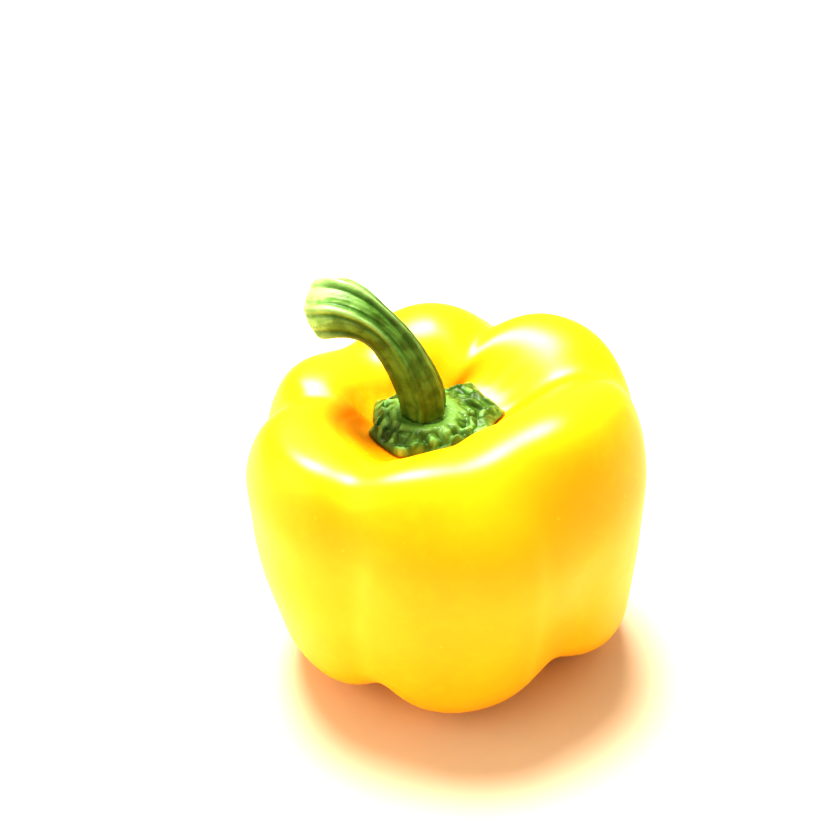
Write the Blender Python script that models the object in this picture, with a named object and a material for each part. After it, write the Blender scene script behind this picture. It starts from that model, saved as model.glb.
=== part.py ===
"""A yellow bell pepper that stands on its four feet, with its green calyx and its curved, cut stem.

Blender 4.5, metres, +Z up. The origin is on the ground under the middle of the pepper, and its
front faces -Y. An azimuth is in degrees round the pepper, 0 at the front and 90 at +X. Each piece
is a sphere whose points are moved by a formula. The travel of a point is how far it lies along its
meridian, from 0 at the top pole to 1 at the bottom pole.
"""
import math
from collections import namedtuple

import bmesh
import bpy
import numpy as np

# Fruit: half of its turned section, from the middle of the stem hollow over the shoulder and down
# the side to the middle of the base hollow. Each pair is a distance from the axis and a height.
# The pairs lead a smooth curve.
FRUIT_SECTION = (
    (0.0000, 0.0647), (0.0058, 0.0647), (0.0120, 0.0651), (0.0168, 0.0671), (0.0205, 0.0724),
    (0.0259, 0.0779), (0.0375, 0.0789), (0.0428, 0.0696), (0.0462, 0.0579), (0.0459, 0.0453),
    (0.0450, 0.0316), (0.0418, 0.0171), (0.0398, 0.0043), (0.0209, -0.0033), (0.0177, -0.0011),
    (0.0108, 0.0059), (0.0049, 0.0094), (0.0000, 0.0094),
)

# Place of the fruit's axis, in x and y, at the stem hollow, at mid height and at the base hollow.
AXIS_TOP = (-0.0055, -0.0034)
AXIS_WAIST = (0.0027, 0.0007)
AXIS_BASE = (0.0040, 0.0010)

# Stretches of the travel that count as shoulder, side and foot: where each begins, is whole,
# begins to fade and ends.
SHOULDER_SPAN = (0.07, 0.28, 0.36, 0.54)
SIDE_SPAN = (0.25, 0.47, 0.53, 0.80)
FOOT_SPAN = (0.50, 0.75, 0.79, 0.97)

# Lobes: azimuth, then how far the lobe reaches past the section, and for shoulders and feet how
# far it rises.
SHOULDERS = (
    (0, -0.0032, -0.0041), (57, -0.0021, 0.0013), (115, 0.0043, 0.0015),
    (185, -0.0016, 0.0015), (245, 0.0028, -0.0020), (300, 0.0075, -0.0046),
)
SIDES = ((6, -0.0007), (65, -0.0017), (115, -0.0037), (181, -0.0017), (245, 0.0028), (300, 0.0039))
FEET = ((6, -0.0004, -0.0015), (92, 0.0042, -0.0008), (181, 0.0, -0.0016), (277, 0.0022, -0.0003))

# How far the wall of the stem hollow rises past the section, round the fruit, and the travel of
# that wall.
HOLLOW_WALL = ((210, 0.0), (262, 0.0024), (300, 0.0036), (342, 0.0), (100, 0.0))
WALL_SPAN = (0.11, 0.20, 0.22, 0.33)

# Clefts between the lobes, and the two dents that part a double shoulder. A cleft's azimuth drifts
# on its way down. It pulls the surface in, lowers the shoulder and lifts the foot.
Cleft = namedtuple("Cleft", "azimuths half_width shoulder_pull side_pull foot_pull drop lift")
CLEFTS = (
    Cleft((-36, -30, -30), 11.4, 0.0011, 0.0030, 0.0005, 0.0028, 0.0078),
    Cleft((22, 40, 42), 21.6, 0.0044, 0.0034, 0.0062, 0.0003, 0.0083),
    Cleft((162, 140, 138), 14.0, 0.0072, 0.0050, 0.0068, 0.0053, 0.0098),
    Cleft((227, 222, 225), 21.6, 0.0059, 0.0052, 0.0089, 0.0050, 0.0102),
    Cleft((105, 88, 90), 16.0, 0.0045, 0.0, 0.0, 0.0076, 0.0),
    Cleft((-87, -98, -96), 8.3, 0.0056, 0.0014, 0.0, 0.0021, 0.0),
)
DRIFT_TO_SIDE = (0.33, 0.55)
DRIFT_TO_FOOT = (0.60, 0.85)

# Calyx: it lies in the stem hollow. Its edge is given as the travel on the fruit that it covers.
# It reaches further towards one side, and has a pointed tooth at each azimuth of the list, which
# reaches further by the second number.
CALYX_EDGE = 0.140
WIDE_SIDE = (130, 0.012)
CALYX_TEETH = (
    (20, 0.008), (64, 0.011), (105, 0.034), (150, 0.036),
    (195, 0.032), (238, 0.036), (284, 0.007), (330, 0.013),
)
TOOTH_TAPER = 1.7
CALYX_THICKNESS = 0.0026
CALYX_TOP_SHARE = 0.6

# The calyx is dished under the stem's foot, has a raised collar round it, and is ribbed and lumpy
# beyond. The dish and the collar are given as travel on the fruit. The rest begins at a share of
# the way from the calyx's middle to its edge.
DISH_EDGE = (0.051, 0.057)
DISH_DEPTH = 0.0010
COLLAR_SPAN = (0.051, 0.061, 0.070, 0.105)
COLLAR_RISE = 0.0014
RIBS_BEGIN = (0.5, 0.7)
CALYX_RIBS = 8
RIB_OFFSET = 1.2
RIB_HEIGHT = 0.0005
# Two crossed waves make the lumps: how often each goes round, and how far it turns on its way out.
LUMP_WAVES = ((11, 9.0), (4, -15.0))
LUMP_HEIGHT = 0.0007
CALYX_EDGE_SQUARENESS = 6

# Stem: its centre line from foot to cut end, and its outline from the cut end's middle back to the
# foot's middle. Each pair of the outline is a share of the centre line and a radius.
STEM_LINE = (
    (-0.0055, -0.0034, 0.0671), (-0.0055, -0.0034, 0.0712), (-0.0066, -0.0034, 0.0755),
    (-0.0087, -0.0034, 0.0806), (-0.0115, -0.0033, 0.0859), (-0.0148, -0.0031, 0.0902),
    (-0.0186, -0.0025, 0.0929), (-0.0223, -0.0011, 0.0938), (-0.0255, 0.0006, 0.0932),
    (-0.0281, 0.0024, 0.0919),
)
STEM_OUTLINE = (
    (0.960, 0.0), (0.960, 0.0022), (0.967, 0.0040), (0.976, 0.0051), (0.962, 0.0059),
    (0.928, 0.0064), (0.875, 0.0067), (0.800, 0.0064), (0.720, 0.0057), (0.640, 0.0048),
    (0.560, 0.0042), (0.470, 0.0043), (0.380, 0.0045), (0.290, 0.0047), (0.200, 0.0049),
    (0.110, 0.0049), (0.040, 0.0048), (0.000, 0.0047), (0.000, 0.0027), (0.000, 0.0),
)

# Ridges with narrow crests run along the stem and wind a little round it. Their height is a share
# of the radius, and their offset and wind are in radians of their wave. The mean keeps the stem's
# thickness: it is the crest's mean height at this sharpness.
STEM_RIDGES = 6
STEM_RIDGE_OFFSET = 1.0
STEM_RIDGE_WIND = -5.0
STEM_RIDGE_SHARE = 0.15
STEM_CREST_SHARPNESS = 3
STEM_CREST_MEAN = 0.3125
STEM_RIDGE_SPAN = (0.12, 0.34, 0.78, 0.92)
STEM_SIDES = 3
STEM_SIDE_SHARE = 0.03

# Gap between the fruit and the calyx.
CLEARANCE = 0.00035

# Rings of the fruit's mesh lie closer together at the shoulder and under the feet.
RING_CROWDING = 0.45
CROWDED_AT = 0.77
MESH_DIVISIONS = {"fruit": (72, 52), "calyx": (72, 30), "stem": (54, 40)}


def ease(share):
    """Rise smoothly from 0 to 1."""
    share = np.clip(share, 0.0, 1.0)
    return share * share * (3.0 - 2.0 * share)


def rise_between(value, marks):
    """Rise smoothly from 0 at the first mark to 1 at the second."""
    begin, whole = marks
    return ease((value - begin) / (whole - begin))


def plateau(value, span):
    """Rise from 0 to 1 and fall again at the four marks of a span."""
    return rise_between(value, span[:2]) * (1.0 - rise_between(value, span[2:]))


def smooth_curve(leads, share):
    """Points on a cubic B-spline that starts at the first lead and ends at the last."""
    leads = np.asarray(leads, float)
    leads = np.vstack([2.0 * leads[0] - leads[1], leads, 2.0 * leads[-1] - leads[-2]])
    spans = len(leads) - 3
    along = np.clip(share, 0.0, 1.0) * spans
    first = np.minimum(along.astype(int), spans - 1)
    f = (along - first)[:, None]
    weights = (
        (1.0 - f) ** 3,
        3.0 * f**3 - 6.0 * f**2 + 4.0,
        -3.0 * f**3 + 3.0 * f**2 + 3.0 * f + 1.0,
        f**3,
    )
    return sum(weight * leads[first + k] for k, weight in enumerate(weights)) / 6.0


def turn_between(azimuth, centre):
    """Signed turn from a centre to an azimuth, from -180 to 180 degrees."""
    return (azimuth - centre + 180.0) % 360.0 - 180.0


def round_values(azimuth, stations):
    """Values that ease from each station round the pepper to the next."""
    stations = np.array(sorted(stations), float)
    turns = np.append(stations[:, 0], stations[0, 0] + 360.0)
    values = np.vstack([stations[:, 1:], stations[:1, 1:]])
    azimuth = (azimuth - turns[0]) % 360.0 + turns[0]
    before = np.clip(np.searchsorted(turns, azimuth, side="right") - 1, 0, len(turns) - 2)
    share = (azimuth - turns[before]) / (turns[before + 1] - turns[before])
    share = ease(share)[:, None]
    return (values[before] * (1.0 - share) + values[before + 1] * share).T


def cleft_depth(azimuth, travel, cleft):
    """How deep a point lies in a cleft, 1 on its line and 0 on the far side of the fruit."""
    top, side, foot = cleft.azimuths
    to_side = rise_between(travel, DRIFT_TO_SIDE)
    to_foot = rise_between(travel, DRIFT_TO_FOOT)
    centre = top + (side - top) * to_side + (foot - side) * to_foot
    turn = turn_between(azimuth, centre) / cleft.half_width
    far = 180.0 / cleft.half_width
    return 1.0 / (1.0 + turn**2) - 1.0 / (1.0 + far**2)


def fruit_surface(azimuth, travel):
    """Points on the skin of the fruit."""
    radius, height = smooth_curve(FRUIT_SECTION, travel).T
    shoulder = plateau(travel, SHOULDER_SPAN)
    side = plateau(travel, SIDE_SPAN) * (1.0 - shoulder)
    foot = plateau(travel, FOOT_SPAN)

    shoulder_reach, shoulder_rise = round_values(azimuth, SHOULDERS)
    side_reach, = round_values(azimuth, SIDES)
    foot_reach, foot_rise = round_values(azimuth, FEET)
    radius = radius + shoulder_reach * shoulder + side_reach * side + foot_reach * foot
    height = height + shoulder_rise * shoulder + foot_rise * foot
    wall_rise, = round_values(azimuth, HOLLOW_WALL)
    height = height + wall_rise * plateau(travel, WALL_SPAN)

    for cleft in CLEFTS:
        depth = cleft_depth(azimuth, travel, cleft)
        pull = cleft.shoulder_pull * shoulder + cleft.side_pull * side + cleft.foot_pull * foot
        radius = radius - depth * pull
        height = height + depth * (cleft.lift * foot - cleft.drop * shoulder)

    to_top = 1.0 - ease(travel * 2.0)
    to_base = ease(travel * 2.0 - 1.0)
    axis = [
        top * to_top + waist * (1.0 - to_top - to_base) + base * to_base
        for top, waist, base in zip(AXIS_TOP, AXIS_WAIST, AXIS_BASE)
    ]
    turn = np.radians(azimuth)
    x = axis[0] + radius * np.sin(turn)
    y = axis[1] - radius * np.cos(turn)
    # The feet are flat where they stand on the ground.
    return np.stack([x, y, np.maximum(height, 0.0)], axis=1)


def fruit_normal(azimuth, travel):
    """Outward unit normals of the fruit's skin, away from its poles."""
    step = 0.002
    travel = np.maximum(travel, 2.0 * step)
    down = fruit_surface(azimuth, travel + step) - fruit_surface(azimuth, travel - step)
    round_ = fruit_surface(azimuth + 1.0, travel) - fruit_surface(azimuth - 1.0, travel)
    normal = np.cross(down, round_)
    return normal / np.linalg.norm(normal, axis=1, keepdims=True)


def crowded(travel):
    """Travel of evenly numbered rings once they are crowded."""
    wave = np.sin(4.0 * math.pi * (travel - CROWDED_AT)) + math.sin(4.0 * math.pi * CROWDED_AT)
    return travel - RING_CROWDING * wave / (4.0 * math.pi)


def calyx_edge(azimuth):
    """Travel on the fruit that the calyx covers, with its pointed teeth."""
    edge = CALYX_EDGE + WIDE_SIDE[1] * np.cos(np.radians(azimuth - WIDE_SIDE[0]))
    places = [place for place, _ in CALYX_TEETH]
    for k, (place, reach) in enumerate(CALYX_TEETH):
        turn = turn_between(azimuth, place)
        before = abs(turn_between(places[k - 1], place))
        after = abs(turn_between(places[(k + 1) % len(places)], place))
        half_gap = np.where(turn < 0.0, before, after) / 2.0
        edge += reach * np.clip(1.0 - np.abs(turn) / half_gap, 0.0, 1.0) ** TOOTH_TAPER
    return edge


def calyx_surface(azimuth, travel):
    """Points on the calyx, which lies on the fruit: its top first, then its underside."""
    upper = travel < CALYX_TOP_SHARE
    outward = np.where(upper, travel / CALYX_TOP_SHARE, (1.0 - travel) / (1.0 - CALYX_TOP_SHARE))
    covered = outward * calyx_edge(azimuth)
    turn = np.radians(azimuth)

    collar = plateau(covered, COLLAR_SPAN)
    dish = 1.0 - rise_between(covered, DISH_EDGE)
    beyond = rise_between(outward, RIBS_BEGIN) * (1.0 - dish)
    ribs = np.cos(CALYX_RIBS * turn + RIB_OFFSET) * beyond
    lumps = beyond
    for waves, winding in LUMP_WAVES:
        lumps = lumps * np.sin(waves * turn + winding * outward)
    thickness = CALYX_THICKNESS + COLLAR_RISE * collar - DISH_DEPTH * dish
    thickness = thickness + RIB_HEIGHT * ribs + LUMP_HEIGHT * lumps
    thickness = thickness * np.sqrt(1.0 - outward**CALYX_EDGE_SQUARENESS)

    base = fruit_surface(azimuth, covered)
    lift = CLEARANCE + np.where(upper, thickness, 0.0)
    return base + fruit_normal(azimuth, covered) * lift[:, None]


def stem_surface(azimuth, travel):
    """Points on the stem, from the middle of its cut end to the middle of its foot."""
    share, radius = smooth_curve(STEM_OUTLINE, travel).T
    centre = smooth_curve(STEM_LINE, share)
    step = 0.01
    tangent = smooth_curve(STEM_LINE, share + step) - smooth_curve(STEM_LINE, share - step)
    tangent /= np.linalg.norm(tangent, axis=1, keepdims=True)
    across = np.cross((0.0, 1.0, 0.0), tangent)
    across /= np.linalg.norm(across, axis=1, keepdims=True)
    beside = np.cross(tangent, across)

    turn = np.radians(azimuth)
    wave = np.cos(STEM_RIDGES * turn + STEM_RIDGE_WIND * share + STEM_RIDGE_OFFSET)
    crest = (0.5 + 0.5 * wave) ** STEM_CREST_SHARPNESS - STEM_CREST_MEAN
    uneven = STEM_RIDGE_SHARE * crest + STEM_SIDE_SHARE * np.cos(STEM_SIDES * turn)
    radius = radius * (1.0 + uneven * plateau(travel, STEM_RIDGE_SPAN))
    around = np.sin(turn)[:, None] * across - np.cos(turn)[:, None] * beside
    return centre + radius[:, None] * around


def finish(name, color, roughness):
    """A plain Principled BSDF material."""
    material = bpy.data.materials.new(name)
    material.use_nodes = True
    shader = material.node_tree.nodes["Principled BSDF"]
    shader.inputs["Base Color"].default_value = (*color, 1.0)
    shader.inputs["Roughness"].default_value = roughness
    shader.inputs["Metallic"].default_value = 0.0
    return material


def shaped_sphere(name, surface, material, collection):
    """Add a sphere whose points lie on a surface given by azimuth and travel."""
    segments, rings = MESH_DIVISIONS[name]
    mesh = bpy.data.meshes.new(name)
    sphere = bmesh.new()
    bmesh.ops.create_uvsphere(sphere, u_segments=segments, v_segments=rings, radius=1.0)
    places = np.array([vert.co[:] for vert in sphere.verts])
    azimuth = np.degrees(np.arctan2(places[:, 0], -places[:, 1]))
    travel = np.arccos(np.clip(places[:, 2], -1.0, 1.0)) / math.pi
    for vert, place in zip(sphere.verts, surface(azimuth, travel)):
        vert.co = place
    bmesh.ops.triangulate(sphere, faces=sphere.faces)
    sphere.to_mesh(mesh)
    sphere.free()
    mesh.shade_smooth()
    mesh.materials.append(material)
    piece = bpy.data.objects.new(name, mesh)
    collection.objects.link(piece)
    return piece


def main():
    for old in list(bpy.data.objects):
        bpy.data.objects.remove(old, do_unlink=True)
    pepper = bpy.data.collections.new("bell_pepper")
    bpy.context.scene.collection.children.link(pepper)

    skin = finish("yellow_skin", (1.0, 0.62, 0.01), 0.22)
    dark_green = finish("calyx_green", (0.10, 0.26, 0.04), 0.45)
    light_green = finish("stem_green", (0.20, 0.34, 0.07), 0.50)
    shaped_sphere("fruit", lambda turn, ring: fruit_surface(turn, crowded(ring)), skin, pepper)
    shaped_sphere("calyx", calyx_surface, dark_green, pepper)
    shaped_sphere("stem", stem_surface, light_green, pepper)


main()
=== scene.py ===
import math
from collections import namedtuple

import bpy
import numpy as np
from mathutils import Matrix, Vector, noise


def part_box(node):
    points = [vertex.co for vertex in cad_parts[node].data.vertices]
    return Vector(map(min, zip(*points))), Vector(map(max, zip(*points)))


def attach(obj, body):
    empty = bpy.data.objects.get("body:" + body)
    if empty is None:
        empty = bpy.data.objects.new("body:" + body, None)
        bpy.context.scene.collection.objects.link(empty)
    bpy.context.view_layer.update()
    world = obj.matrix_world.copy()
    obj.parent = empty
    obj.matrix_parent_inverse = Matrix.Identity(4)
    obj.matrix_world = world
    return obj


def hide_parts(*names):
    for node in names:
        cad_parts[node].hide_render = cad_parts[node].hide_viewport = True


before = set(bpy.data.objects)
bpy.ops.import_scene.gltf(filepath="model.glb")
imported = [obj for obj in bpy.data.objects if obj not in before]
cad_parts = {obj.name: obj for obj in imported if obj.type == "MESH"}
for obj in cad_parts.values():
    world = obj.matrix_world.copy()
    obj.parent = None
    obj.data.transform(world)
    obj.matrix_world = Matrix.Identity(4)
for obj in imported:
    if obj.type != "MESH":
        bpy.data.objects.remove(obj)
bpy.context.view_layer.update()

# Noise for fine relief: the size of its features along x, y and z, and where in it to start.
Noise = namedtuple("Noise", "feature seed")

# Fruit: half of its turned section, from the middle of the stem hollow over the shoulder and down
# the side to the middle of the base hollow. Each pair is a distance from the axis and a height.
# The pairs lead a smooth curve.
FRUIT_SECTION = (
    (0.0000, 0.0647), (0.0058, 0.0647), (0.0120, 0.0651), (0.0168, 0.0671), (0.0205, 0.0724),
    (0.0259, 0.0779), (0.0375, 0.0789), (0.0428, 0.0696), (0.0462, 0.0579), (0.0459, 0.0453),
    (0.0450, 0.0316), (0.0418, 0.0171), (0.0398, 0.0043), (0.0209, -0.0033), (0.0177, -0.0011),
    (0.0108, 0.0059), (0.0049, 0.0094), (0.0000, 0.0094),
)

# Place of the fruit's axis, in x and y, at the stem hollow, at mid height and at the base hollow.
AXIS_TOP = (-0.0055, -0.0034)
AXIS_WAIST = (0.0027, 0.0007)
AXIS_BASE = (0.0040, 0.0010)

# Stretches of the travel that count as shoulder, side and foot.
SHOULDER_SPAN = (0.07, 0.28, 0.36, 0.54)
SIDE_SPAN = (0.25, 0.47, 0.53, 0.80)
FOOT_SPAN = (0.50, 0.75, 0.79, 0.97)

# Lobes: azimuth, then how far the lobe reaches past the section, and for shoulders and feet how
# far it rises.
SHOULDERS = (
    (0, -0.0032, -0.0041), (57, -0.0021, 0.0013), (115, 0.0043, 0.0015),
    (185, -0.0016, 0.0015), (245, 0.0028, -0.0020), (300, 0.0075, -0.0046),
)
SIDES = ((6, -0.0007), (65, -0.0017), (115, -0.0037), (181, -0.0017), (245, 0.0028), (300, 0.0039))
FEET = ((6, -0.0004, -0.0015), (92, 0.0042, -0.0008), (181, 0.0, -0.0016), (277, 0.0022, -0.0003))

# How far the wall of the stem hollow rises past the section, round the fruit, and the travel of
# that wall.
HOLLOW_WALL = ((210, 0.0), (262, 0.0024), (300, 0.0036), (342, 0.0), (100, 0.0))
WALL_SPAN = (0.11, 0.20, 0.22, 0.33)

# Clefts between the lobes, and the two dents that part a double shoulder. A cleft's azimuth drifts
# on its way down. It pulls the surface in, lowers the shoulder and lifts the foot.
Cleft = namedtuple("Cleft", "azimuths half_width shoulder_pull side_pull foot_pull drop lift")
CLEFTS = (
    Cleft((-36, -30, -30), 11.4, 0.0011, 0.0030, 0.0005, 0.0028, 0.0078),
    Cleft((22, 40, 42), 21.6, 0.0044, 0.0034, 0.0062, 0.0003, 0.0083),
    Cleft((162, 140, 138), 14.0, 0.0072, 0.0050, 0.0068, 0.0053, 0.0098),
    Cleft((227, 222, 225), 21.6, 0.0059, 0.0052, 0.0089, 0.0050, 0.0102),
    Cleft((105, 88, 90), 16.0, 0.0045, 0.0, 0.0, 0.0076, 0.0),
    Cleft((-87, -98, -96), 8.3, 0.0056, 0.0014, 0.0, 0.0021, 0.0),
)
DRIFT_TO_SIDE = (0.33, 0.55)
DRIFT_TO_FOOT = (0.60, 0.85)

# Fine relief of the skin: broad swells and small dents, which begin just above the ground.
SWELLS = Noise((0.016, 0.016, 0.045), 3.1)
SWELL_HEIGHT = 0.00020
DENTS = Noise((0.006, 0.006, 0.009), 8.4)
DENT_HEIGHT = 0.00004
ABOVE_GROUND = (0.0004, 0.0060)

# Faint puckers in patches of the stem hollow's wall. They are waves round the fruit, and a slower
# wave shifts them, by so many radians, so that they aren't even.
PUCKERS = 23
PUCKER_SHIFTS = 3
PUCKER_SHIFT = 3.0
PUCKER_HEIGHT = 0.00007
PUCKER_SPAN = (0.15, 0.19, 0.21, 0.27)
PUCKER_PATCHES = Noise((0.010, 0.010, 0.010), 6.0)
PATCH_WIDTH = 0.4

# Scar in the middle of the base hollow: a knob with a moat round it. Radii are from its middle.
UNDERSIDE_BEGIN = (0.80, 0.86)
SCAR_RADIUS = 0.0024
SCAR_KNOB_RADIUS = 0.0011
SCAR_KNOB_HEIGHT = 0.0005
SCAR_MOAT_RADIUS = 0.0021
SCAR_MOAT_HALF_WIDTH = 0.0009
SCAR_MOAT_DEPTH = 0.0006

# Places of the skin's colours. Painted shade, a deeper orange, lies near a cleft's line, fully
# where it pulls the surface in by the full pull, and less and less down the side. The stem hollow
# gets painted shade too.
CLEFT_SHADE_WIDTH = 0.35
CLEFT_FULL_PULL = 0.006
CLEFT_SHADE_FADE = (0.40, 0.55)
HOLLOW_SHADE_FADE = (0.14, 0.30)
# Painted shade, a deeper orange, on the hollow's left wall where the stem's shadow falls: its
# azimuth, half width and span.
WALL_SHADE = (268.0, 30.0)
WALL_SHADE_SPAN = (0.11, 0.18, 0.23, 0.30)
# Painted reflections run down the sides as pale streaks: their azimuth and half width. The swells
# bend them.
REFLECTION_STREAKS = ((-30, 3.4), (26, 3.2), (137, 3.6), (222, 4.0))
REFLECTION_SPAN = (0.42, 0.50, 0.68, 0.80)
REFLECTION_BEND = 6.0

# Calyx: it lies in the stem hollow. Its edge is given as the travel on the fruit that it covers.
# It reaches further towards one side, and has a pointed tooth at each azimuth of the list, which
# reaches further by the second number.
CALYX_EDGE = 0.140
WIDE_SIDE = (130, 0.012)
CALYX_TEETH = (
    (20, 0.008), (64, 0.011), (105, 0.034), (150, 0.036),
    (195, 0.032), (238, 0.036), (284, 0.007), (330, 0.013),
)
TOOTH_TAPER = 1.7
CALYX_THICKNESS = 0.0026
CALYX_TOP_SHARE = 0.7
CALYX_EDGE_SQUARENESS = 6
# How far under the skin the edge and the underside are drawn. Scaling the calyx to its node's box
# then lifts the underside 0.3 to 0.7 mm clear of the skin.
CALYX_DRAWN_UNDER = 0.0002

# The calyx is dished under the stem's foot, has a raised collar round it, and is ribbed and lumpy
# beyond. The dish and the collar are given as travel on the fruit. The rest begins at a share of
# the way from the calyx's middle to its edge.
DISH_EDGE = (0.034, 0.041)
DISH_DEPTH = 0.0010
COLLAR_SPAN = (0.032, 0.043, 0.068, 0.105)
COLLAR_RISE = 0.0014
RIBS_BEGIN = (0.5, 0.7)
CALYX_RIBS = 8
RIB_OFFSET = 1.2
RIB_HEIGHT = 0.0005
# Two crossed waves make the lumps: how often each goes round, and how far it turns on its way out.
LUMP_WAVES = ((11, 9.0), (4, -15.0))
LUMP_HEIGHT = 0.0007

# A crease rings the stem's foot at its front: its travel on the fruit, and its azimuth with how
# far it runs to either side.
CREASE_PLACE = 0.0500
CREASE_HALF_WIDTH = 0.0022
CREASE_SIDE = (350.0, 70.0)
CREASE_DEPTH = 0.0005

# Knobs, smaller warts and a grain. The knobs begin where the collar fades, as travel on the fruit.
# Within that the warts keep only a share of their height. Both are noise without its sign, which
# stands out above the level and sinks in below it.
KNOBS = Noise((0.0028, 0.0028, 0.0028), 5.7)
WARTS = Noise((0.0016, 0.0016, 0.0016), 2.2)
GRAIN = Noise((0.0007, 0.0007, 0.0007), 1.9)
KNOBS_BEGIN = (0.066, 0.085)
KNOB_HEIGHT = 0.0012
WART_HEIGHT = 0.0003
WARTS_WITHIN = 0.2
BUMP_LEVEL = 0.25
GRAIN_HEIGHT = 0.00008

# A rib runs along the middle of each tooth, and a furrow between two teeth. Their half width is a
# share of the way from a tooth's middle to the next furrow.
TOOTH_LINE_WIDTH = 0.22
MIDRIB_BEGIN = (0.50, 0.80)
MIDRIB_HEIGHT = 0.0004
FURROW_BEGIN = (0.45, 0.75)
FURROW_DEPTH = 0.0006

# Where the knobs' tips get painted highlights and the valleys between them painted shade, as
# heights of their noise.
KNOB_HIGHLIGHT = (0.28, 0.75)
WARTS_IN_HIGHLIGHT = 0.5
VALLEY_SHADE_WIDTH = 0.07

# Stem: its centre line from foot to cut end, and its outline from the cut end's middle back to the
# foot's middle. Each pair of the outline is a share of the centre line and a radius.
STEM_LINE = (
    (-0.0055, -0.0034, 0.0671), (-0.0055, -0.0034, 0.0712), (-0.0066, -0.0034, 0.0755),
    (-0.0087, -0.0034, 0.0806), (-0.0115, -0.0033, 0.0859), (-0.0148, -0.0031, 0.0902),
    (-0.0186, -0.0025, 0.0929), (-0.0223, -0.0011, 0.0938), (-0.0255, 0.0006, 0.0932),
    (-0.0281, 0.0024, 0.0919),
)
STEM_OUTLINE = (
    (0.960, 0.0), (0.960, 0.0022), (0.967, 0.0040), (0.976, 0.0051), (0.962, 0.0059),
    (0.928, 0.0064), (0.875, 0.0067), (0.800, 0.0064), (0.720, 0.0057), (0.640, 0.0048),
    (0.560, 0.0042), (0.470, 0.0043), (0.380, 0.0045), (0.290, 0.0047), (0.200, 0.0049),
    (0.110, 0.0049), (0.040, 0.0048), (0.000, 0.0047), (0.000, 0.0027), (0.000, 0.0),
)

# Ridges with narrow crests run along the stem and wind a little round it. Their height is a share
# of the radius, and their offset and wind are in radians of their wave. The mean keeps the stem's
# thickness: it is the crest's mean height at this sharpness. The stem is faintly three-sided too.
STEM_RIDGES = 6
STEM_RIDGE_OFFSET = 1.0
STEM_RIDGE_WIND = -5.0
STEM_RIDGE_SHARE = 0.15
STEM_CREST_SHARPNESS = 3
STEM_CREST_MEAN = 0.3125
STEM_RIDGE_SPAN = (0.12, 0.34, 0.78, 0.92)
STEM_SIDES = 3
STEM_SIDE_SHARE = 0.03

# A fine line tops each ridge, with a groove on either side of it. Widths and the groove's place
# are in radians of the ridges' wave, and heights are shares of the radius.
LINE_HALF_WIDTH = 0.50
LINE_SHARE = 0.035
GROOVE_PLACE = 1.20
GROOVE_HALF_WIDTH = 0.45
GROOVE_SHARE = 0.045

# Streaks, finer streaks and pits, also as shares of the radius. A streak's noise is stretched
# along the stem: it is read on a cylinder of this radius and length.
STREAK_CYLINDER = (7.0, 3.0)
STREAKS = Noise((1.0, 1.0, 1.0), 4.2)
STREAK_SHARE = 0.020
FINE_STREAKS = Noise((1.0, 1.0, 1.0), 7.7)
FINE_STREAK_SCALE = (2.6, 2.6, 5.0)
FINE_STREAK_SHARE = 0.010
PITS = Noise((0.0016, 0.0016, 0.0016), 3.3)
PIT_SHARE = 0.014

# Travel where the colour of the cut end fades, and that of its pith.
CUT_EDGE = (0.115, 0.150)
PITH_EDGE = (0.060, 0.090)

# Rings of the fruit's mesh lie closer together at the shoulder and under the feet.
RING_CROWDING = 0.45
CROWDED_AT = 0.77
MESH_DIVISIONS = {"fruit": (380, 250), "calyx": (400, 200), "stem": (260, 300)}

# Colours, as red, green and blue in linear light.
SKIN = {
    "cloud": (1.0, 0.48, 0.005),
    "clear": (1.0, 0.53, 0.006),
    "freckle": (1.0, 0.56, 0.009),
    # Painted shade, a deeper orange, for the clefts and the stem hollow.
    "deep": (1.0, 0.38, 0.003),
    # Painted shade on the hollow's left wall.
    "wall": (1.0, 0.30, 0.003),
    # Painted reflections in pale streaks down the sides.
    "streak": (1.0, 0.60, 0.04),
    "fleck": (1.0, 0.64, 0.03),
    "scar": (0.36, 0.19, 0.06),
}
CALYX = {
    "dark": (0.055, 0.112, 0.008),
    "light": (0.085, 0.170, 0.020),
    # The collar is a paler green of its own, with a painted highlight laid in.
    "collar": (0.250, 0.430, 0.095),
    # Painted highlights on the knobs' tips.
    "knobs": (0.310, 0.560, 0.180),
    # Painted shade in the valleys, the furrows and the crease.
    "valleys": (0.040, 0.090, 0.004),
    "furrow": (0.045, 0.090, 0.004),
    "crease": (0.050, 0.080, 0.004),
    "rim": (0.130, 0.210, 0.035),
    "tip": (0.400, 0.480, 0.100),
}
STEM = {
    "foot dark": (0.092, 0.190, 0.030),
    "foot light": (0.150, 0.285, 0.060),
    "middle dark": (0.070, 0.130, 0.014),
    "middle light": (0.130, 0.250, 0.050),
    "end dark": (0.230, 0.400, 0.090),
    "end light": (0.410, 0.610, 0.200),
    # Painted highlights as pale lines on the ridges' crests.
    "line": (0.430, 0.620, 0.240),
    # Painted shade in the grooves beside the ridges.
    "groove": (0.050, 0.130, 0.010),
    # Painted shade with painted reflected yellow light, for the underside.
    "underside_shade": (0.230, 0.190, 0.012),
    "streak": (0.190, 0.170, 0.020),
    "cut": (0.340, 0.370, 0.120),
    "pith": (0.560, 0.580, 0.290),
}
FLOOR_COLOUR = (0.90, 0.745, 0.54, 1.0)
WHITE = (1.0, 1.0, 1.0, 1.0)

# Camera. Its focal length is in pixels of the square image.
IMAGE_WIDTH = 828
FOCAL_PIXELS = 1400.0
CAMERA_TARGET = (-0.00772, 0.00070, 0.06533)
CAMERA_DISTANCE = 0.31372
CAMERA_ELEVATION = 34.85
CAMERA_NEAREST = 0.01
SENSOR_WIDTH = 36.0

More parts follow.
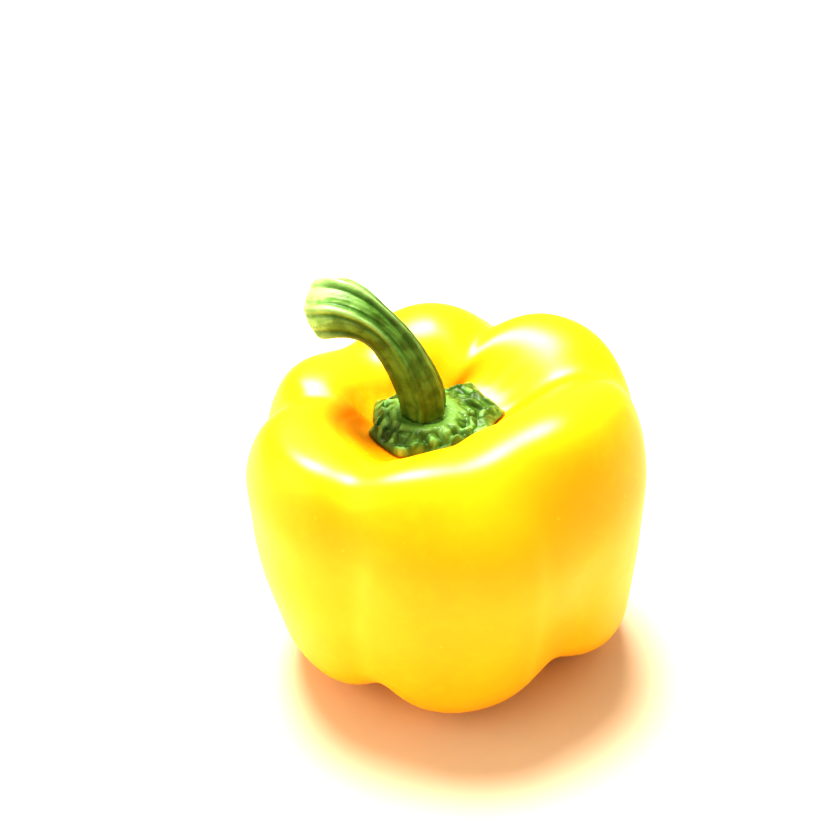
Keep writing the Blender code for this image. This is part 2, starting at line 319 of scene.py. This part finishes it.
# Floor and light. The lamps are discs that face the pepper's middle.
FLOOR_WIDTH = 6.0
FLOOR_ROUGHNESS = 0.8
SURROUND_STRENGTH = 0.40
LIT_PLACE = (0.0, 0.0, 0.05)
Lamp = namedtuple("Lamp", "name place diameter power")
LAMPS = (
    Lamp("key", (-0.115, 0.215, 0.890), 0.46, 12.5),
    Lamp("fill", (-1.90, -0.70, 0.85), 2.40, 14.0),
)


def ease(share):
    """Rise smoothly from 0 to 1."""
    share = np.clip(share, 0.0, 1.0)
    return share * share * (3.0 - 2.0 * share)


def rise_between(value, marks):
    """Rise smoothly from 0 at the first mark to 1 at the second."""
    begin, whole = marks
    return ease((value - begin) / (whole - begin))


def plateau(value, span):
    """Rise from 0 to 1 and fall again at the four marks of a span."""
    return rise_between(value, span[:2]) * (1.0 - rise_between(value, span[2:]))


def bell(value, half_width):
    """A bump of height 1 at 0."""
    return np.exp(-((value / half_width) ** 2))


def smooth_curve(leads, share):
    """Points on a cubic B-spline that starts at the first lead and ends at the last."""
    leads = np.asarray(leads, float)
    leads = np.vstack([2.0 * leads[0] - leads[1], leads, 2.0 * leads[-1] - leads[-2]])
    spans = len(leads) - 3
    along = np.clip(share, 0.0, 1.0) * spans
    first = np.minimum(along.astype(int), spans - 1)
    f = (along - first)[:, None]
    weights = (
        (1.0 - f) ** 3,
        3.0 * f**3 - 6.0 * f**2 + 4.0,
        -3.0 * f**3 + 3.0 * f**2 + 3.0 * f + 1.0,
        f**3,
    )
    return sum(weight * leads[first + k] for k, weight in enumerate(weights)) / 6.0


def turn_between(azimuth, centre):
    """Signed turn from a centre to an azimuth, from -180 to 180 degrees."""
    return (azimuth - centre + 180.0) % 360.0 - 180.0


def round_values(azimuth, stations):
    """Values that ease from each station round the pepper to the next."""
    stations = np.array(sorted(stations), float)
    turns = np.append(stations[:, 0], stations[0, 0] + 360.0)
    values = np.vstack([stations[:, 1:], stations[:1, 1:]])
    azimuth = (azimuth - turns[0]) % 360.0 + turns[0]
    before = np.clip(np.searchsorted(turns, azimuth, side="right") - 1, 0, len(turns) - 2)
    share = (azimuth - turns[before]) / (turns[before + 1] - turns[before])
    share = ease(share)[:, None]
    return (values[before] * (1.0 - share) + values[before + 1] * share).T


def wander(points, kind):
    """Smooth noise of a kind, from about -1 to 1."""
    scaled = points / np.asarray(kind.feature, float) + kind.seed
    return np.array([noise.noise(Vector(place)) for place in scaled])


def cleft_depth(azimuth, travel, cleft):
    """How deep a point lies in a cleft, 1 on its line and 0 on the far side of the fruit."""
    top, side, foot = cleft.azimuths
    to_side = rise_between(travel, DRIFT_TO_SIDE)
    to_foot = rise_between(travel, DRIFT_TO_FOOT)
    centre = top + (side - top) * to_side + (foot - side) * to_foot
    turn = turn_between(azimuth, centre) / cleft.half_width
    far = 180.0 / cleft.half_width
    return 1.0 / (1.0 + turn**2) - 1.0 / (1.0 + far**2)


def fruit_surface(azimuth, travel):
    """Points on the smooth skin of the fruit."""
    radius, height = smooth_curve(FRUIT_SECTION, travel).T
    shoulder = plateau(travel, SHOULDER_SPAN)
    side = plateau(travel, SIDE_SPAN) * (1.0 - shoulder)
    foot = plateau(travel, FOOT_SPAN)

    shoulder_reach, shoulder_rise = round_values(azimuth, SHOULDERS)
    side_reach, = round_values(azimuth, SIDES)
    foot_reach, foot_rise = round_values(azimuth, FEET)
    radius = radius + shoulder_reach * shoulder + side_reach * side + foot_reach * foot
    height = height + shoulder_rise * shoulder + foot_rise * foot
    wall_rise, = round_values(azimuth, HOLLOW_WALL)
    height = height + wall_rise * plateau(travel, WALL_SPAN)

    for cleft in CLEFTS:
        depth = cleft_depth(azimuth, travel, cleft)
        pull = cleft.shoulder_pull * shoulder + cleft.side_pull * side + cleft.foot_pull * foot
        radius = radius - depth * pull
        height = height + depth * (cleft.lift * foot - cleft.drop * shoulder)

    to_top = 1.0 - ease(travel * 2.0)
    to_base = ease(travel * 2.0 - 1.0)
    axis = [
        top * to_top + waist * (1.0 - to_top - to_base) + base * to_base
        for top, waist, base in zip(AXIS_TOP, AXIS_WAIST, AXIS_BASE)
    ]
    turn = np.radians(azimuth)
    x = axis[0] + radius * np.sin(turn)
    y = axis[1] - radius * np.cos(turn)
    # The feet are flat where they stand on the ground.
    return np.stack([x, y, np.maximum(height, 0.0)], axis=1)


def fruit_normal(azimuth, travel):
    """Outward unit normals of the fruit's smooth skin."""
    step = 0.002
    travel = np.clip(travel, 2.0 * step, 1.0 - 2.0 * step)
    down = fruit_surface(azimuth, travel + step) - fruit_surface(azimuth, travel - step)
    round_ = fruit_surface(azimuth + 1.0, travel) - fruit_surface(azimuth - 1.0, travel)
    normal = np.cross(down, round_)
    return normal / np.linalg.norm(normal, axis=1, keepdims=True)


def crowded(travel):
    """Travel of evenly numbered rings once they are crowded."""
    wave = np.sin(4.0 * math.pi * (travel - CROWDED_AT)) + math.sin(4.0 * math.pi * CROWDED_AT)
    return travel - RING_CROWDING * wave / (4.0 * math.pi)


def skin_masks(azimuth, travel, swells):
    """Where the skin gets painted shade in its clefts, its hollow and on the hollow's left wall,
    and painted reflections in its streaks.
    """
    shoulder, side, foot = (plateau(travel, span) for span in (SHOULDER_SPAN, SIDE_SPAN, FOOT_SPAN))
    # Painted shade near the clefts' lines.
    cleft_shade = np.zeros_like(travel)
    for cleft in CLEFTS:
        pull = cleft.shoulder_pull * shoulder + cleft.side_pull * side + cleft.foot_pull * foot
        near = bell(1.0 - cleft_depth(azimuth, travel, cleft), CLEFT_SHADE_WIDTH)
        cleft_shade += near * pull / CLEFT_FULL_PULL
    streak = np.zeros_like(travel)
    # Painted reflections in pale streaks down the sides.
    for place, half_width in REFLECTION_STREAKS:
        streak += bell(turn_between(azimuth + REFLECTION_BEND * swells, place), half_width)
    # Painted shade on the hollow's left wall.
    wall_place, wall_half_width = WALL_SHADE
    wall = bell(turn_between(azimuth, wall_place), wall_half_width)
    return {
        "cleft": np.clip(cleft_shade, 0.0, 1.0) * (1.0 - rise_between(travel, CLEFT_SHADE_FADE)),
        "streak": streak * plateau(travel, REFLECTION_SPAN),
        "wall": wall * plateau(travel, WALL_SHADE_SPAN),
        "hollow": 1.0 - rise_between(travel, HOLLOW_SHADE_FADE),
    }


def fruit_detail(azimuth, ring):
    """Points on the fruit with its fine relief, and the masks that its colours follow."""
    travel = crowded(ring)
    smooth = fruit_surface(azimuth, travel)
    swells = wander(smooth, SWELLS)
    relief = SWELL_HEIGHT * swells + DENT_HEIGHT * wander(smooth, DENTS)
    relief = relief * rise_between(smooth[:, 2], ABOVE_GROUND)

    turn = np.radians(azimuth)
    patches = bell(wander(smooth, PUCKER_PATCHES), PATCH_WIDTH)
    puckers = np.sin(turn * PUCKERS + PUCKER_SHIFT * np.sin(turn * PUCKER_SHIFTS)) * patches
    relief += PUCKER_HEIGHT * puckers * plateau(travel, PUCKER_SPAN)

    from_scar = np.hypot(smooth[:, 0] - AXIS_BASE[0], smooth[:, 1] - AXIS_BASE[1])
    under = rise_between(travel, UNDERSIDE_BEGIN)
    knob = SCAR_KNOB_HEIGHT * bell(from_scar, SCAR_KNOB_RADIUS)
    moat = SCAR_MOAT_DEPTH * bell(from_scar - SCAR_MOAT_RADIUS, SCAR_MOAT_HALF_WIDTH)
    relief += under * (knob - moat)

    points = smooth + fruit_normal(azimuth, travel) * relief[:, None]
    points[:, 2] = np.maximum(points[:, 2], 0.0)
    masks = skin_masks(azimuth, travel, swells)
    masks["scar"] = under * bell(from_scar, SCAR_RADIUS)
    return points, masks


def calyx_edge(azimuth):
    """Travel on the fruit that the calyx covers, and how near a tooth's middle a point is."""
    edge = CALYX_EDGE + WIDE_SIDE[1] * np.cos(np.radians(azimuth - WIDE_SIDE[0]))
    tooth = np.zeros_like(azimuth)
    places = [place for place, _ in CALYX_TEETH]
    for k, (place, reach) in enumerate(CALYX_TEETH):
        turn = turn_between(azimuth, place)
        before = abs(turn_between(places[k - 1], place))
        after = abs(turn_between(places[(k + 1) % len(places)], place))
        half_gap = np.where(turn < 0.0, before, after) / 2.0
        near = np.clip(1.0 - np.abs(turn) / half_gap, 0.0, 1.0)
        edge += reach * near**TOOTH_TAPER
        tooth = np.maximum(tooth, near)
    return edge, tooth


def calyx_detail(azimuth, travel):
    """Points on the calyx: its top first, then its underside, and the masks of its colours."""
    upper = travel < CALYX_TOP_SHARE
    outward = np.where(upper, travel / CALYX_TOP_SHARE, (1.0 - travel) / (1.0 - CALYX_TOP_SHARE))
    edge, tooth = calyx_edge(azimuth)
    covered = outward * edge
    turn = np.radians(azimuth)
    base = fruit_surface(azimuth, covered)

    collar = plateau(covered, COLLAR_SPAN)
    dish = 1.0 - rise_between(covered, DISH_EDGE)
    beyond = rise_between(outward, RIBS_BEGIN) * (1.0 - dish)
    ribs = np.cos(CALYX_RIBS * turn + RIB_OFFSET) * beyond
    lumps = beyond
    for waves, winding in LUMP_WAVES:
        lumps = lumps * np.sin(waves * turn + winding * outward)
    thickness = CALYX_THICKNESS + COLLAR_RISE * collar - DISH_DEPTH * dish
    thickness = thickness + RIB_HEIGHT * ribs + LUMP_HEIGHT * lumps

    crease_place, crease_reach = CREASE_SIDE
    crease = bell(covered - CREASE_PLACE, CREASE_HALF_WIDTH)
    crease = crease * bell(turn_between(azimuth, crease_place), crease_reach)
    furrow = bell(tooth, TOOTH_LINE_WIDTH) * rise_between(outward, FURROW_BEGIN)
    midrib = bell(1.0 - tooth, TOOTH_LINE_WIDTH) * rise_between(outward, MIDRIB_BEGIN)
    outside = rise_between(covered, KNOBS_BEGIN)
    knobs = np.abs(wander(base, KNOBS))
    warts = np.abs(wander(base, WARTS))
    wart_share = WARTS_WITHIN + (1.0 - WARTS_WITHIN) * outside
    relief = KNOB_HEIGHT * (knobs - BUMP_LEVEL) * outside
    relief += WART_HEIGHT * (warts - BUMP_LEVEL) * wart_share
    relief += MIDRIB_HEIGHT * midrib - FURROW_DEPTH * furrow - CREASE_DEPTH * crease
    relief += GRAIN_HEIGHT * wander(base, GRAIN) * (1.0 - dish)
    thickness = (thickness + relief) * np.sqrt(1.0 - outward**CALYX_EDGE_SQUARENESS)

    lift = np.where(upper, thickness, 0.0) - CALYX_DRAWN_UNDER
    points = base + fruit_normal(azimuth, covered) * lift[:, None]
    masks = {
        "crease": crease,
        "collar": collar,
        "furrow": furrow,
        # Painted highlights on the knobs' tips, and painted shade in the valleys.
        "knobs": rise_between(knobs + WARTS_IN_HIGHLIGHT * warts, KNOB_HIGHLIGHT) * outside,
        "valleys": bell(knobs, VALLEY_SHADE_WIDTH) * outside,
        "outward": outward,
        "tooth": tooth,
    }
    return points, masks


def stem_axes(share):
    """Points on the stem's centre line, and two unit directions square to it at each."""
    step = 0.01
    tangent = smooth_curve(STEM_LINE, share + step) - smooth_curve(STEM_LINE, share - step)
    tangent /= np.linalg.norm(tangent, axis=1, keepdims=True)
    across = np.cross((0.0, 1.0, 0.0), tangent)
    across /= np.linalg.norm(across, axis=1, keepdims=True)
    return smooth_curve(STEM_LINE, share), across, np.cross(tangent, across)


def stem_detail(azimuth, travel):
    """Points on the stem, from the middle of its cut end to the middle of its foot, and masks."""
    share, radius = smooth_curve(STEM_OUTLINE, travel).T
    centre, across, beside = stem_axes(share)
    turn = np.radians(azimuth)
    phase = STEM_RIDGES * turn + STEM_RIDGE_WIND * share + STEM_RIDGE_OFFSET
    crest = (0.5 + 0.5 * np.cos(phase)) ** STEM_CREST_SHARPNESS - STEM_CREST_MEAN
    uneven = STEM_RIDGE_SHARE * crest + STEM_SIDE_SHARE * np.cos(STEM_SIDES * turn)
    span = plateau(travel, STEM_RIDGE_SPAN)

    from_crest = (phase + math.pi) % (2.0 * math.pi) - math.pi
    line = bell(from_crest, LINE_HALF_WIDTH)
    groove = bell(np.abs(from_crest) - GROOVE_PLACE, GROOVE_HALF_WIDTH)
    uneven = uneven + LINE_SHARE * line - GROOVE_SHARE * groove

    wide, long = STREAK_CYLINDER
    long_grain = np.stack([np.cos(turn) * wide, np.sin(turn) * wide, share * long], axis=1)
    streaks = wander(long_grain, STREAKS)
    fine = wander(long_grain * FINE_STREAK_SCALE, FINE_STREAKS)
    outward = np.stack([np.cos(turn), np.sin(turn), np.zeros_like(turn)], axis=1)
    pits = wander(centre + radius[:, None] * outward, PITS)
    uneven = uneven + STREAK_SHARE * streaks + FINE_STREAK_SHARE * fine + PIT_SHARE * pits

    radius = radius * (1.0 + uneven * span)
    around = np.sin(turn)[:, None] * across - np.cos(turn)[:, None] * beside
    points = centre + radius[:, None] * around
    masks = {
        "share": share,
        "line": line * span,
        "groove": groove * span,
        "streaks": 0.5 + 0.5 * streaks,
        "cut": 1.0 - rise_between(travel, CUT_EDGE),
        "pith": 1.0 - rise_between(travel, PITH_EDGE),
        "top_side": 0.5 + 0.5 * around[:, 2],
    }
    return points, masks


def round_faces(segments, rings):
    """Faces of a sphere of rings of points, between a top and a bottom pole."""
    here = np.arange(segments)
    after = (here + 1) % segments
    last = 1 + (rings - 2) * segments
    bands = [np.stack([np.zeros_like(here), 1 + here, 1 + after], axis=1)]
    for upper in range(1, last, segments):
        lower = upper + segments
        bands.append(np.stack([upper + here, lower + here, lower + after, upper + after], axis=1))
    bottom = np.full_like(here, last + segments)
    bands.append(np.stack([last + after, last + here, bottom], axis=1))
    return [face for band in bands for face in band.tolist()]


def shaped_sphere(node, detail):
    """A fine piece that stands for a node, scaled to fill the node's box."""
    segments, rings = MESH_DIVISIONS[node]
    around = np.arange(segments) * 360.0 / segments
    turns, travels = np.meshgrid(around, np.arange(1, rings) / rings)
    azimuth = np.concatenate([[0.0], turns.ravel(), [0.0]])
    travel = np.concatenate([[0.0], travels.ravel(), [1.0]])
    points, masks = detail(azimuth, travel)

    low, high = (np.array(corner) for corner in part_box(node))
    size = points.max(axis=0) - points.min(axis=0)
    points = low + (points - points.min(axis=0)) * (high - low) / size
    mesh = bpy.data.meshes.new(node + "_fine")
    mesh.from_pydata(points.tolist(), [], round_faces(segments, rings))
    for name, values in masks.items():
        mask = mesh.attributes.new(name, "FLOAT", "POINT")
        mask.data.foreach_set("value", values.astype(np.float32))
    mesh.update()
    mesh.shade_smooth()
    piece = bpy.data.objects.new(node + "_fine", mesh)
    bpy.context.scene.collection.objects.link(piece)
    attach(piece, "root")
    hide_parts(node)
    return piece


class Look:
    """A Principled BSDF material that is built up from procedural patterns."""

    def __init__(self, name):
        self.material = bpy.data.materials.new(name)
        self.material.use_nodes = True
        self.nodes = self.material.node_tree.nodes
        self.links = self.material.node_tree.links
        self.shader = self.nodes["Principled BSDF"]
        self.place = self.nodes.new("ShaderNodeTexCoord").outputs["Object"]

    def feed(self, socket, value):
        """Link an output to a socket, or set it to a plain value."""
        if isinstance(value, bpy.types.NodeSocket):
            self.links.new(value, socket)
        else:
            socket.default_value = value

    def mask(self, name):
        """A mask that the mesh carries."""
        node = self.nodes.new("ShaderNodeAttribute")
        node.attribute_name = name
        return node.outputs["Fac"]

    def noise(self, feature, detail=2.0, stretch=(1.0, 1.0, 1.0)):
        """Noise with features of a given size in metres."""
        mapping = self.nodes.new("ShaderNodeMapping")
        mapping.inputs["Scale"].default_value = stretch
        self.links.new(self.place, mapping.inputs["Vector"])
        node = self.nodes.new("ShaderNodeTexNoise")
        node.inputs["Scale"].default_value = 1.0 / feature
        node.inputs["Detail"].default_value = detail
        self.links.new(mapping.outputs["Vector"], node.inputs["Vector"])
        return node.outputs["Fac"]

    def spots(self, feature, size):
        """Small dots, 1 in their middle, about a feature apart. Their size is a share of it."""
        node = self.nodes.new("ShaderNodeTexVoronoi")
        node.inputs["Scale"].default_value = 1.0 / feature
        self.links.new(self.place, node.inputs["Vector"])
        return self.between(node.outputs["Distance"], size, size * 0.4)

    def between(self, value, begin, whole):
        """Rise smoothly from 0 at the first number to 1 at the second."""
        node = self.nodes.new("ShaderNodeMapRange")
        node.interpolation_type = "SMOOTHSTEP"
        self.feed(node.inputs["Value"], value)
        node.inputs["From Min"].default_value = begin
        node.inputs["From Max"].default_value = whole
        return node.outputs["Result"]

    def spread(self, value, low, high):
        """Turn 0 to 1 into low to high."""
        node = self.nodes.new("ShaderNodeMapRange")
        self.feed(node.inputs["Value"], value)
        node.inputs["To Min"].default_value = low
        node.inputs["To Max"].default_value = high
        return node.outputs["Result"]

    def combine(self, operation, first, second):
        """Combine two values, outputs or plain numbers, by an operation of the Math node."""
        node = self.nodes.new("ShaderNodeMath")
        node.operation = operation
        self.feed(node.inputs[0], first)
        self.feed(node.inputs[1], second)
        return node.outputs["Value"]

    def times(self, first, second):
        return self.combine("MULTIPLY", first, second)

    def plus(self, first, second):
        return self.combine("ADD", first, second)

    def blend(self, factor, first, second):
        """Mix two colours. A Mix node's colour sockets share their names, so they go by number."""
        node = self.nodes.new("ShaderNodeMix")
        node.data_type = "RGBA"
        self.feed(node.inputs["Factor"], factor)
        for socket, colour in ((node.inputs[6], first), (node.inputs[7], second)):
            plain = not isinstance(colour, bpy.types.NodeSocket)
            self.feed(socket, (*colour, 1.0) if plain else colour)
        return node.outputs[2]

    def layer(self, under, mask, strength, over):
        """Lay a colour over another where a mask says, at a strength from 0 to 1."""
        return self.blend(self.times(mask, strength), under, over)

    def bump(self, height, distance, strength, under=None):
        """Normals of a relief, laid over the normals of a coarser one."""
        node = self.nodes.new("ShaderNodeBump")
        node.inputs["Strength"].default_value = strength
        node.inputs["Distance"].default_value = distance
        self.links.new(height, node.inputs["Height"])
        if under is not None:
            self.links.new(under, node.inputs["Normal"])
        return node.outputs["Normal"]

    def finish(self, colour, roughness, normal, **constants):
        """Set the shader's sockets and return the material."""
        self.feed(self.shader.inputs["Base Color"], colour)
        self.feed(self.shader.inputs["Roughness"], roughness)
        self.feed(self.shader.inputs["Normal"], normal)
        for name, value in constants.items():
            self.shader.inputs[name.replace("_", " ")].default_value = value
        return self.material


def skin_look():
    """Glossy yellow skin with faint freckles and flecks. It has painted shade, a deeper orange, in
    the clefts and the stem hollow, more painted shade on the hollow's left wall, painted
    reflections as pale streaks down its sides, and is brown at the scar."""
    look = Look("yellow_skin")
    clouds = look.between(look.noise(0.030, 3.0, stretch=(1.0, 1.0, 0.5)), 0.35, 0.70)
    colour = look.blend(clouds, SKIN["cloud"], SKIN["clear"])
    freckles = look.between(look.noise(0.004), 0.45, 0.75)
    colour = look.layer(colour, freckles, 0.35, SKIN["freckle"])
    # Painted shade, a deeper orange, in the clefts and the stem hollow.
    deep = look.plus(look.times(look.mask("cleft"), 0.35), look.times(look.mask("hollow"), 0.45))
    colour = look.blend(deep, colour, SKIN["deep"])
    # Painted shade on the hollow's left wall.
    colour = look.layer(colour, look.mask("wall"), 0.30, SKIN["wall"])
    # Painted reflections in pale streaks down the sides.
    colour = look.layer(colour, look.mask("streak"), 0.45, SKIN["streak"])
    colour = look.layer(colour, look.spots(0.0065, 0.09), 0.40, SKIN["fleck"])
    colour = look.blend(look.between(look.mask("scar"), 0.25, 0.75), colour, SKIN["scar"])
    roughness = look.spread(look.noise(0.012), 0.33, 0.39)
    peel = look.bump(look.noise(0.0045), 0.00008, 0.35)
    pores = look.bump(look.noise(0.0006, 1.0), 0.00001, 0.30, peel)
    return look.finish(
        colour, roughness, pores,
        Subsurface_Weight=0.25, Subsurface_Radius=(1.0, 0.40, 0.05), Subsurface_Scale=0.003,
        Specular_IOR_Level=0.50,
    )


def calyx_look():
    """Waxy, lumpy green. The collar is a paler green with a painted highlight, the knobs' tips
    carry painted highlights and the teeth's tips are pale. The valleys, the furrows and the crease
    get painted shade."""
    look = Look("calyx_green")
    patches = look.between(look.noise(0.006, 3.0), 0.38, 0.62)
    colour = look.blend(patches, CALYX["dark"], CALYX["light"])
    # The collar is paler green with a painted highlight, the knobs carry painted highlights, and
    # the valleys, furrows and crease carry painted shade.
    for place, strength in (
        ("collar", 0.55), ("knobs", 0.60), ("valleys", 0.80), ("furrow", 0.80), ("crease", 1.0),
    ):
        colour = look.layer(colour, look.mask(place), strength, CALYX[place])
    rim = look.between(look.mask("outward"), 0.90, 0.98)
    colour = look.layer(colour, rim, 0.50, CALYX["rim"])
    tip = look.times(look.between(look.mask("tooth"), 0.80, 0.98), rim)
    colour = look.layer(colour, tip, 0.70, CALYX["tip"])
    roughness = look.spread(patches, 0.42, 0.50)
    fine = look.bump(look.noise(0.0008, 3.0), 0.00012, 0.6)
    return look.finish(
        colour, roughness, fine,
        Subsurface_Weight=0.10, Subsurface_Radius=(0.5, 1.0, 0.2), Subsurface_Scale=0.0012,
        Specular_IOR_Level=0.45,
    )


def stem_look():
    """Ribbed green, olive at the foot and pale at the cut end, with painted highlights as pale
    lines on its ridges, painted shade in the grooves between them, and painted shade with painted
    reflected yellow light on a brownish underside."""
    look = Look("stem_green")
    share = look.mask("share")
    mottle = look.between(look.noise(0.0032, 4.0), 0.38, 0.62)
    foot, middle, end = (
        look.blend(mottle, STEM[part + " dark"], STEM[part + " light"])
        for part in ("foot", "middle", "end")
    )
    colour = look.blend(look.between(share, 0.30, 0.62), foot, middle)
    colour = look.blend(look.between(share, 0.60, 0.90), colour, end)

    upward = look.between(share, 0.42, 0.64)
    short_of_end = look.between(share, 0.95, 0.78)
    # Painted highlights as pale lines on the ridges' crests, up the stem.
    line = look.times(look.mask("line"), look.spread(short_of_end, 0.3, 0.8))
    colour = look.layer(colour, line, upward, STEM["line"])
    # Painted shade in the grooves beside the ridges.
    groove = look.times(look.mask("groove"), look.spread(upward, 0.20, 0.80))
    colour = look.layer(colour, groove, look.spread(short_of_end, 0.35, 1.0), STEM["groove"])
    # Painted shade with painted reflected yellow light where the stem's surface faces down.
    underside_shade = look.between(look.mask("top_side"), 0.45, 0.15)
    underside_shade = look.times(underside_shade, look.between(share, 0.98, 0.80))
    colour = look.layer(colour, underside_shade, 0.55, STEM["underside_shade"])
    streaks = look.between(look.mask("streaks"), 0.55, 0.80)
    colour = look.layer(colour, streaks, 0.25, STEM["streak"])
    cut = look.blend(look.mask("pith"), STEM["cut"], STEM["pith"])
    colour = look.blend(look.mask("cut"), colour, cut)
    grain = look.bump(look.noise(0.0007, 3.0), 0.00012, 0.6)
    return look.finish(
        colour, 0.42, grain,
        Subsurface_Weight=0.10, Subsurface_Radius=(0.6, 1.0, 0.2), Subsurface_Scale=0.0012,
        Specular_IOR_Level=0.4,
    )


def pale_floor():
    """A wide floor that the pepper stands on."""
    bpy.ops.mesh.primitive_plane_add(size=FLOOR_WIDTH)
    floor = bpy.context.object
    floor.name = "floor"
    look = Look("pale_floor")
    floor.data.materials.append(look.material)
    look.shader.inputs["Base Color"].default_value = FLOOR_COLOUR
    look.shader.inputs["Roughness"].default_value = FLOOR_ROUGHNESS


def soft_light():
    """Even white light from all round, and two soft lamps."""
    world = bpy.data.worlds.new("white_surround")
    world.use_nodes = True
    background = world.node_tree.nodes["Background"]
    background.inputs["Color"].default_value = WHITE
    background.inputs["Strength"].default_value = SURROUND_STRENGTH
    bpy.context.scene.world = world
    for lamp in LAMPS:
        disc = bpy.data.lights.new(lamp.name, "AREA")
        disc.shape = "DISK"
        disc.size = lamp.diameter
        disc.energy = lamp.power
        light = bpy.data.objects.new(lamp.name, disc)
        light.location = lamp.place
        back = Vector(lamp.place) - Vector(LIT_PLACE)
        light.rotation_euler = back.to_track_quat("Z", "Y").to_euler()
        bpy.context.scene.collection.objects.link(light)


def front_camera():
    """A camera that looks down on the pepper from its front."""
    lens = bpy.data.cameras.new("camera")
    lens.sensor_width = SENSOR_WIDTH
    lens.lens = FOCAL_PIXELS * SENSOR_WIDTH / IMAGE_WIDTH
    lens.clip_start = CAMERA_NEAREST
    camera = bpy.data.objects.new("camera", lens)
    elevation = math.radians(CAMERA_ELEVATION)
    back = Vector((0.0, -math.cos(elevation), math.sin(elevation)))
    camera.location = Vector(CAMERA_TARGET) + back * CAMERA_DISTANCE
    camera.rotation_euler = back.to_track_quat("Z", "Y").to_euler()
    bpy.context.scene.collection.objects.link(camera)
    bpy.context.scene.camera = camera


def main():
    for node, detail, look, slot in (
        ("fruit", fruit_detail, skin_look, "skin"),
        ("calyx", calyx_detail, calyx_look, "calyx"),
        ("stem", stem_detail, stem_look, "stem"),
    ):
        piece = shaped_sphere(node, detail)
        piece.data.materials.append(look())
    pale_floor()
    soft_light()
    front_camera()
    bpy.context.scene.view_settings.view_transform = "Standard"
    bpy.context.scene.view_settings.look = "Very High Contrast"


main()
